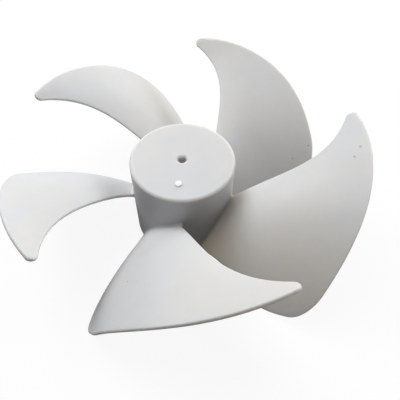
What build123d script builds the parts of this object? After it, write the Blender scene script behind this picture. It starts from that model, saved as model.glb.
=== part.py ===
"""Axial fan impeller for a refrigerator, moulded in one piece: a cup-shaped hub with a D-bore
boss, and five forward-swept blades. Millimetres, +Z up along the axis, origin on the axis at
the mouth of the bore, which lies in the plane of the hub's open rim."""

import os
from math import comb, cos, pi, radians, sin, tan

from build123d import *

os.makedirs("parts", exist_ok=True)

# ---- Driving dimensions, mm and degrees ------------------------------------------------------

# Hub: a cup, closed in front and open at the back
hub_diameter = 36.0
hub_height = 33.0
hub_draft = 0.5
hub_wall = 1.8
face_thickness = 2.2
hub_edge_radius = 1.0
rim_edge_radius = 0.4

# Boss on the axis, which the motor shaft is pushed into
shaft_diameter = 3.0
shaft_flat_depth = 0.5
shaft_clearance = 0.15
shaft_grip = 0.02
grip_length = 12.0
boss_diameter = 9.0
hole_edge_chamfer = 0.55

# Webs that tie the boss to the hub wall
web_count = 5
web_thickness = 1.4
web_rim_gap = 8.0

# Gate vestige, where the plastic entered the mould
gate_diameter = 2.4
gate_height = 0.5
gate_edge_radius = 0.3
gate_radius = 11.2
gate_angle = -97.0

# Blades: tip circle, plate and plan outline
blade_count = 5
tip_diameter = 118.0
blade_thickness = 1.4
blade_edge_radius = 0.45
blade_root_depth = 1.0
blade_root_fillet = 0.8
leading_corner_radius = 1.5
trailing_corner_radius = 8.25
leading_angles = [-95.0, -79.0, -80.5, -74.0, -57.5]
trailing_angles = [-148.0, -128.0, -135.5, -134.5, -126.5, -123.0]

# Blades: lie of the upper face, from a level above the rim plane. Each row runs from root to tip,
# blended smoothly between.
blade_level = 33.0
blade_axis_angle = -105.0
blade_drop = [15.4, 4.1, 3.4, 3.0]
blade_pitch = [9.0, 18.5, 30.0, 47.5]
blade_camber = [-13.0, -41.0, -43.0, -72.0]
blade_twist = [0.0, 12.0, 73.0]
blade_reflex = [0.0, -42.0]

# ---- Derived sizes ---------------------------------------------------------------------------

hub_radius = hub_diameter / 2
tip_radius = tip_diameter / 2
shaft_radius = shaft_diameter / 2
bore_radius = shaft_radius + shaft_clearance
grip_radius = shaft_radius - shaft_grip
flat_distance = shaft_radius - shaft_flat_depth
boss_radius = boss_diameter / 2
root_radius = hub_radius - blade_root_depth
rim_radius = hub_radius - hub_height * tan(radians(hub_draft))


def blend(values, s):
    """Smooth (Bernstein) blend of a row of values, from the root at s = 0 to the tip at s = 1."""
    n = len(values) - 1
    return sum(comb(n, i) * s**i * (1 - s) ** (n - i) * v for i, v in enumerate(values))


def span(radius):
    """Share of the way from root to tip."""
    return (radius - root_radius) / (tip_radius - root_radius)


def blade_height(radius, angle):
    """Height of the blade's upper face above the rim plane, at a radius and an angle."""
    s = span(radius)
    turn = radians(angle - blade_axis_angle)
    rise = (
        -blend(blade_drop, s)
        + blend(blade_pitch, s) * turn
        + blend(blade_camber, s) * turn**2
        + blend(blade_twist, s) * turn**3
        + blend(blade_reflex, s) * turn**4
    )
    return blade_level + rise


def plan_point(radius, angle):
    return (radius * cos(radians(angle)), radius * sin(radians(angle)))


def surface_point(radius, angle):
    return (*plan_point(radius, angle), blade_height(radius, angle))


# ---- One blade, standing alone ---------------------------------------------------------------

# The sheet that the blade is cut from reaches past its outline on every side, by these margins.
sheet_margin = 2.5
root_margin = 0.5
sheet_rows = 15
sheet_columns = 21
root_inside = root_radius - root_margin
sheet_points = []
for row in range(sheet_rows):
    radius = root_inside + (tip_radius + sheet_margin - root_inside) * row / (sheet_rows - 1)
    margin_angle = 180 / pi * sheet_margin / radius
    start = blend(trailing_angles, span(radius)) - margin_angle
    sweep = blend(leading_angles, span(radius)) + margin_angle - start
    steps = [start + sweep * column / (sheet_columns - 1) for column in range(sheet_columns)]
    sheet_points.append([surface_point(radius, angle) for angle in steps])
blade_sheet = Face.make_surface_from_array_of_points(sheet_points, tol=0.01, min_deg=3, max_deg=5)

# Plan outline, raised to a prism: leading edge, tip arc, trailing edge and root
edge_stations = 9
near = 0.02
edge_radii = [
    root_radius + (tip_radius - root_radius) * station / (edge_stations - 1)
    for station in range(edge_stations)
]


def on_tip(edge):
    return abs(Vector(edge.center().X, edge.center().Y).length - tip_radius) < near


with BuildPart() as blade_prism:
    with BuildSketch() as blade_outline:
        with BuildLine():
            leading = Spline(*[plan_point(r, blend(leading_angles, span(r))) for r in edge_radii])
            trailing = Spline(*[plan_point(r, blend(trailing_angles, span(r))) for r in edge_radii])
            ThreePointArc(leading @ 1, plan_point(tip_radius, blade_axis_angle), trailing @ 1)
            Line(leading @ 0, trailing @ 0)
        make_face()
    extrude(amount=2 * blade_level)
    for corner_radius, last in ((trailing_corner_radius, 0), (leading_corner_radius, -1)):
        corners = blade_prism.edges().filter_by(Axis.Z).filter_by(on_tip).sort_by(Axis.X)
        fillet(corners[last], corner_radius)

# The outline cuts the sheet, which is then given its thickness, so every edge stands square to it
blade_face = (blade_sheet & blade_prism.part).face()


def on_rim(edge):
    return Vector((edge @ 0.5).X, (edge @ 0.5).Y).length > hub_radius


with BuildPart() as blade:
    thicken(blade_face, amount=-blade_thickness, normal_override=(0, 0, 1))
    plate_faces = blade.faces().sort_by(SortBy.AREA)[-2:]
    fillet(plate_faces.edges().filter_by(on_rim), blade_edge_radius)

# ---- The impeller ----------------------------------------------------------------------------


def on_hub_wall(edge):
    """Whether an edge lies on the outside of the hub, clear of its two ends."""
    for share in (0.1, 0.5, 0.9):
        spot = edge @ share
        wall_radius = rim_radius + (hub_radius - rim_radius) * spot.Z / hub_height
        if abs(Vector(spot.X, spot.Y).length - wall_radius) > near:
            return False
    return hub_edge_radius < (edge @ 0.5).Z < hub_height - hub_edge_radius


with BuildPart() as impeller:
    # Outer form of the hub, a drafted drum with rounded ends
    with BuildSketch(Plane.XZ):
        with BuildLine():
            Polyline((0, 0), (rim_radius, 0), (hub_radius, hub_height), (0, hub_height), close=True)
        make_face()
    revolve(axis=Axis.Z)
    end_circles = impeller.edges().filter_by(GeomType.CIRCLE).sort_by(Axis.Z)
    fillet(end_circles[-1], hub_edge_radius)
    fillet(impeller.edges().filter_by(GeomType.CIRCLE).sort_by(Axis.Z)[0], rim_edge_radius)

    # Five blades, rooted in the hub wall and blended into it
    with PolarLocations(0, blade_count):
        add(blade.part)
    root_edges = impeller.edges().filter_by(GeomType.BSPLINE).filter_by(on_hub_wall)
    fillet(root_edges, blade_root_fillet)

    # The cavity behind the front face; its wall follows the draft
    with BuildSketch(Plane.XZ):
        with BuildLine():
            cavity_top = hub_height - face_thickness
            Polyline(
                (boss_radius, 0),
                (rim_radius - hub_wall, 0),
                (hub_radius - hub_wall, cavity_top),
                (boss_radius, cavity_top),
                close=True,
            )
        make_face()
    revolve(axis=Axis.Z, mode=Mode.SUBTRACT)

    # Webs between boss and wall, set back from the rim
    web_start = boss_radius / 2
    web_end = hub_radius - hub_wall / 2
    with BuildSketch(Plane.XY.offset(web_rim_gap)):
        with PolarLocations((web_start + web_end) / 2, web_count, start_angle=90):
            Rectangle(web_end - web_start, web_thickness)
    extrude(amount=cavity_top - web_rim_gap)

    # Bore: round from the mouth, then narrowed to a D that grips the shaft's end
    with BuildSketch(Plane.XY):
        Circle(bore_radius)
    extrude(amount=hub_height - grip_length, mode=Mode.SUBTRACT)
    with BuildSketch(Plane.XY.offset(hub_height - grip_length)):
        Circle(grip_radius)
        with Locations((0, flat_distance)):
            Rectangle(2 * grip_radius, grip_radius, align=(Align.CENTER, Align.MIN), mode=Mode.SUBTRACT)
    extrude(amount=grip_length, mode=Mode.SUBTRACT)
    front_face = impeller.faces().filter_by(Axis.Z).sort_by(Axis.Z)[-1]
    chamfer(front_face.inner_wires()[0].edges(), hole_edge_chamfer)

    # Gate vestige on the front face
    with BuildSketch(Plane.XY.offset(hub_height)):
        with Locations(plan_point(gate_radius, gate_angle)):
            Circle(gate_diameter / 2)
    extrude(amount=gate_height)
    fillet(impeller.faces().filter_by(Axis.Z).sort_by(Axis.Z)[-1].edges(), gate_edge_radius)

impeller.part.label = "impeller"
export_step(impeller.part, "parts/impeller.step")
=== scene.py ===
"""Moulded axial fan impeller for a refrigerator: one white plastic moulding on a pale floor."""

from math import cos, radians, sin

import bmesh
import bpy
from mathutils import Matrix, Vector

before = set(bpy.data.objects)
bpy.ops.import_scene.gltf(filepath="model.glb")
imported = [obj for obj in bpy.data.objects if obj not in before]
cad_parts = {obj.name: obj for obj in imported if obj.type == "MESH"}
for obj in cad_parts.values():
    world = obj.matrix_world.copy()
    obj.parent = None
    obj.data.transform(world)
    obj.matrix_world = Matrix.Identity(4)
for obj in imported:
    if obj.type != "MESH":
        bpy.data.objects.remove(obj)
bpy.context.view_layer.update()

# ---- Camera ----------------------------------------------------------------------------------
# It looks down on the closed face of the hub from in front, a hand's breadth away, so the near
# blades spread and the far ones draw in. The frame is square; the view is moved sideways in it.

camera_place = (0.0, -0.0998, 0.1401)
camera_turn = (41.19, 2.40, 0.10)
camera_lens = 38.9
camera_sensor = 36.0
camera_shift = (0.0793, -0.0691)
camera_nearest = 0.005

camera_data = bpy.data.cameras.new("camera")
camera_data.lens = camera_lens
camera_data.sensor_width = camera_sensor
camera_data.shift_x, camera_data.shift_y = camera_shift
camera_data.clip_start = camera_nearest
camera = bpy.data.objects.new("camera", camera_data)
camera.location = camera_place
camera.rotation_euler = [radians(turn) for turn in camera_turn]
bpy.context.scene.collection.objects.link(camera)
bpy.context.scene.camera = camera
bpy.context.scene.view_settings.view_transform = "Standard"

# ---- The moulding ----------------------------------------------------------------------------
# Hub and blades are one shot of white styrene, injected at the mark on the hub's face. The thin
# blades let some light through. The skin has a soft sheen, a trace of mould grain, a barely seen
# change of tone where the melt ran, and a few specks of dirt that were caught in it.

white = (0.64, 0.65, 0.665, 1.0)
cream = (0.675, 0.66, 0.635, 1.0)
fine_grey = (0.60, 0.60, 0.605, 1.0)
fine_grey_share = 0.3
cloud_scale = 22.0
fine_scale = 160.0

# The spot on the gate nub: partly the nub's whiter plastic, partly a painted highlight
gate_pale_and_highlight = (0.9, 0.91, 0.93, 1.0)
gate_highlight_place = (-0.00137, -0.01112, 0.0335)
gate_highlight_reach = (0.0009, 0.0013)

# Each speck's place, its colour, and the radii between which it fades out
speck_grey = (0.16, 0.14, 0.12, 1.0)
faint_grey = (0.44, 0.43, 0.42, 1.0)
specks = [
    ((0.05107, 0.02347, 0.01356), speck_grey, (0.00018, 0.00040)),
    ((0.04378, 0.01734, 0.01273), speck_grey, (0.00014, 0.00034)),
    ((0.05602, -0.00432, 0.04098), faint_grey, (0.00020, 0.00060)),
    ((0.05369, -0.00732, 0.03969), faint_grey, (0.00020, 0.00060)),
    ((-0.01702, -0.04013, 0.02363), speck_grey, (0.00010, 0.00028)),
]

glow_through = 1.0
glow_colour = (1.0, 0.88, 0.72)
glow_depth = 0.0035
styrene_ior = 1.5
sheen_scale = 75.0
roughness_range = (0.5, 0.62)
grain_scale = 1500.0
grain_strength = 0.12
grain_depth = 0.00005

plastic = bpy.data.materials.new("moulded_plastic")
plastic.use_nodes = True
nodes = plastic.node_tree.nodes
links = plastic.node_tree.links
skin = nodes["Principled BSDF"]
skin.inputs["Subsurface Weight"].default_value = glow_through
skin.inputs["Subsurface Radius"].default_value = glow_colour
skin.inputs["Subsurface Scale"].default_value = glow_depth
skin.inputs["IOR"].default_value = styrene_ior
place = nodes.new("ShaderNodeTexCoord").outputs["Object"]


def mottle(scale, detail, low, high):
    """A noise over the moulding, remapped to run from low to high."""
    noise = nodes.new("ShaderNodeTexNoise")
    noise.inputs["Scale"].default_value = scale
    noise.inputs["Detail"].default_value = detail
    links.new(place, noise.inputs["Vector"])
    remap = nodes.new("ShaderNodeMapRange")
    remap.inputs["From Min"].default_value = 0.3
    remap.inputs["From Max"].default_value = 0.7
    remap.inputs["To Min"].default_value = low
    remap.inputs["To Max"].default_value = high
    links.new(noise.outputs["Fac"], remap.inputs["Value"])
    return remap.outputs["Result"]


def tint(under, over, share):
    """One colour laid over another by a share; each may be a colour or a socket."""
    mix = nodes.new("ShaderNodeMix")
    mix.data_type = "RGBA"
    for socket, colour in ((mix.inputs["A"], under), (mix.inputs["B"], over)):
        if isinstance(colour, tuple):
            socket.default_value = colour
        else:
            links.new(colour, socket)
    links.new(share, mix.inputs["Factor"])
    return mix.outputs["Result"]


def dot(centre, reach):
    """A round mark about a point of the moulding, fading out between two radii."""
    away = nodes.new("ShaderNodeVectorMath")
    away.operation = "DISTANCE"
    away.inputs[1].default_value = centre
    links.new(place, away.inputs[0])
    fade = nodes.new("ShaderNodeMapRange")
    fade.interpolation_type = "SMOOTHSTEP"
    fade.inputs["From Min"].default_value = reach[0]
    fade.inputs["From Max"].default_value = reach[1]
    fade.inputs["To Min"].default_value = 1.0
    fade.inputs["To Max"].default_value = 0.0
    links.new(away.outputs["Value"], fade.inputs["Value"])
    return fade.outputs["Result"]


# Melt tone: broad clouds of cream, with fine ones of grey over them, then a pale spot on the gate
# nub that is partly its whiter plastic and partly a painted highlight, then the specks
tone = tint(white, cream, mottle(cloud_scale, 2.0, 0.0, 1.0))
tone = tint(tone, fine_grey, mottle(fine_scale, 4.0, 0.0, fine_grey_share))
# Pale spot with a painted highlight on the gate nub
tone = tint(tone, gate_pale_and_highlight, dot(gate_highlight_place, gate_highlight_reach))
for speck_place, speck_colour, speck_reach in specks:
    tone = tint(tone, speck_colour, dot(speck_place, speck_reach))
links.new(tone, skin.inputs["Base Color"])

# Sheen: softly uneven, as handling and the mould's polish leave it
links.new(mottle(sheen_scale, 3.0, *roughness_range), skin.inputs["Roughness"])

# Mould grain, a few hundredths of a millimetre deep
grain = nodes.new("ShaderNodeBump")
grain.inputs["Strength"].default_value = grain_strength
grain.inputs["Distance"].default_value = grain_depth
links.new(mottle(grain_scale, 2.0, 0.0, 1.0), grain.inputs["Height"])
links.new(grain.outputs["Normal"], skin.inputs["Normal"])

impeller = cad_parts["impeller"]
for material_slot in impeller.material_slots:
    material_slot.material = plastic

# ---- Floor -----------------------------------------------------------------------------------
# A sheet of pale card, a hair below the hub's rim, which shows white to the eye and keeps a faint
# shadow. It gives little light back to the moulding, as card in a dim room does.

floor_half_side = 2.0
floor_level = -0.0001
card_white = (0.9, 0.9, 0.9, 1.0)
card_dim = (0.16, 0.16, 0.16, 1.0)
card_roughness = 0.9
card_glow_share = 0.92

floor_mesh = bpy.data.meshes.new("floor")
sheet = bmesh.new()
bmesh.ops.create_grid(sheet, x_segments=1, y_segments=1, size=floor_half_side)
bmesh.ops.translate(sheet, verts=sheet.verts, vec=(0.0, 0.0, floor_level))
sheet.to_mesh(floor_mesh)
sheet.free()
floor = bpy.data.objects.new("floor", floor_mesh)
bpy.context.scene.collection.objects.link(floor)


def looked_at(tree):
    """A socket that is 1 for rays from the eye, a reflection or a clear body, and 0 for others."""
    light_path = tree.nodes.new("ShaderNodeLightPath")
    seen = light_path.outputs["Is Camera Ray"]
    for ray in ("Is Glossy Ray", "Is Transmission Ray"):
        either = tree.nodes.new("ShaderNodeMath")
        either.operation = "MAXIMUM"
        tree.links.new(seen, either.inputs[0])
        tree.links.new(light_path.outputs[ray], either.inputs[1])
        seen = either.outputs["Value"]
    return seen


card = bpy.data.materials.new("floor_card")
card.use_nodes = True
card_nodes = card.node_tree.nodes
card_links = card.node_tree.links
card_seen = looked_at(card.node_tree)
card_face = card_nodes["Principled BSDF"]
card_face.inputs["Roughness"].default_value = card_roughness
card_glow = card_nodes.new("ShaderNodeEmission")
card_glow.inputs["Strength"].default_value = 1.0
card_colour = card_nodes.new("ShaderNodeMix")
card_colour.data_type = "RGBA"
card_colour.inputs["A"].default_value = card_dim
card_colour.inputs["B"].default_value = card_white
card_links.new(card_seen, card_colour.inputs["Factor"])
card_links.new(card_colour.outputs["Result"], card_face.inputs["Base Color"])
glow_share = card_nodes.new("ShaderNodeMath")
glow_share.operation = "MULTIPLY"
glow_share.inputs[1].default_value = card_glow_share
card_links.new(card_seen, glow_share.inputs[0])
card_mix = card_nodes.new("ShaderNodeMixShader")
card_links.new(glow_share.outputs["Value"], card_mix.inputs["Fac"])
card_links.new(card_face.outputs["BSDF"], card_mix.inputs[1])
card_links.new(card_glow.outputs["Emission"], card_mix.inputs[2])
card_links.new(card_mix.outputs["Shader"], card_nodes["Material Output"].inputs["Surface"])
floor_mesh.materials.append(card)

# ---- Light -----------------------------------------------------------------------------------
# Two wide soft lamps stand behind the impeller to the left, high up, and two warmer ones low on
# the right. The room itself gives next to nothing, so the front of the hub falls into shade.

lamp_distance = 0.9
lamp_aim = Vector((0.0, 0.0, 0.02))
lamp_size = 0.5
cool_light = (0.97, 0.985, 1.0)
warm_light = (1.0, 0.97, 0.94)
room_white = (1.0, 1.0, 1.0, 1.0)
room_dim_strength = 0.01
room_seen_strength = 1.0


def soft_lamp(name, turn, rise, power, colour):
    """A round area lamp at a compass turn and a height angle in degrees, facing the impeller."""
    level = cos(radians(rise))
    away = Vector((cos(radians(turn)) * level, sin(radians(turn)) * level, sin(radians(rise))))
    lamp_data = bpy.data.lights.new(name, "AREA")
    lamp_data.shape = "DISK"
    lamp_data.size = lamp_size
    lamp_data.energy = power
    lamp_data.color = colour
    lamp = bpy.data.objects.new(name, lamp_data)
    lamp.location = lamp_aim + lamp_distance * away
    lamp.rotation_euler = (-away).to_track_quat("-Z", "Y").to_euler()
    bpy.context.scene.collection.objects.link(lamp)


soft_lamp("high_lamp", 150, 72, 4.2, cool_light)
soft_lamp("window_lamp", 134, 50, 4.1, cool_light)
soft_lamp("low_lamp", 4, 13, 3.4, warm_light)
soft_lamp("side_lamp", 45, 24, 3.0, warm_light)

room = bpy.data.worlds.new("studio")
bpy.context.scene.world = room
room.use_nodes = True
room_nodes = room.node_tree.nodes
room_links = room.node_tree.links
room_glow = room_nodes["Background"]
room_glow.inputs["Color"].default_value = room_white
room_strength = room_nodes.new("ShaderNodeMapRange")
room_strength.inputs["To Min"].default_value = room_dim_strength
room_strength.inputs["To Max"].default_value = room_seen_strength
room_links.new(looked_at(room.node_tree), room_strength.inputs["Value"])
room_links.new(room_strength.outputs["Result"], room_glow.inputs["Strength"])
